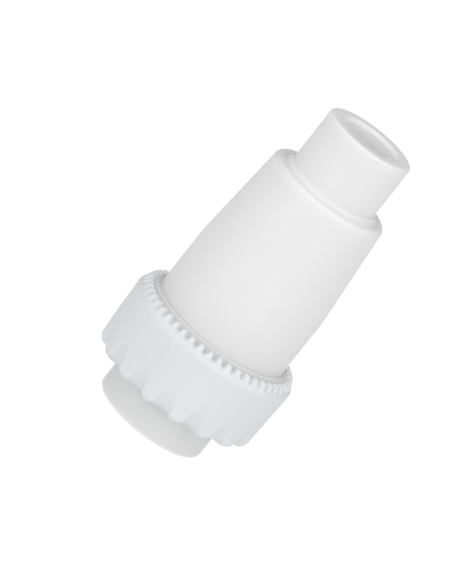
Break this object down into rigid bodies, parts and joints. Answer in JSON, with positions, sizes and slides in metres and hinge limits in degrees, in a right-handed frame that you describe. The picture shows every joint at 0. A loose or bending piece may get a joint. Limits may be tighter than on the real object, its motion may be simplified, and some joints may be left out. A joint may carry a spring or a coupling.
{
  "type": "pneumatic muffler",
  "caption": "In-line pneumatic muffler: a white plastic housing with an outlet neck, clamped by a lobed union nut to an inlet tail that carries a silencing cartridge.",
  "frame": {"origin": "centre of the inlet tail's lower end face, on the bore axis", "axes": "+Z along the bore from the inlet to the outlet neck; -Y is the front, the side a viewer faces"},
  "size_m": [0.0618, 0.0618, 0.1203],
  "materials": {
    "housing_polymer": "satin natural white",
    "nut_polymer": "satin natural white",
    "tail_polymer": "satin natural white",
    "slip_polymer": "low-friction white",
    "carrier_polymer": "satin",
    "sintered_polymer": "porous",
    "felt": "needled felt",
    "seal_rubber": "matt black",
    "stainless": "plain",
    "spring_steel": "plain"
  },
  "bodies": {
    "inlet": {"inlet_tail": "tail_polymer", "tail_o_ring": "seal_rubber", "carrier_gasket": "seal_rubber", "cartridge_carrier": "carrier_polymer", "element_gaskets": "seal_rubber", "silencing_element": "sintered_polymer", "support_tube": "stainless", "cartridge_cap": "carrier_polymer", "tie_rod": "stainless", "tie_rod_washers": "stainless", "lower_rod_nut": "stainless", "cap_nut": "stainless"},
    "nut": {"union_nut": "nut_polymer", "slip_ring": "slip_polymer"},
    "housing": {"housing": "housing_polymer", "absorber_sleeve": "felt", "liner_tube": "stainless", "lining_retainer": "carrier_polymer", "lining_snap_ring": "spring_steel", "outlet_screen": "stainless", "outlet_diffuser": "carrier_polymer", "outlet_snap_ring": "spring_steel"}
  },
  "joints": [
    {"name": "nut_turn", "type": "hinge", "parent": "inlet", "child": "nut", "pos_m": [0, 0, 0.0128], "axis": [0, 0, -1], "range_deg": [0, 1080]},
    {"name": "housing_lift", "type": "slide", "parent": "inlet", "child": "housing", "axis": [0, 0, 1], "range_m": [0, 0.009]}
  ],
  "couplings": [
    {"joint": "housing_lift", "follows": "nut_turn", "m_per_rad": 0.00047746}
  ]
}
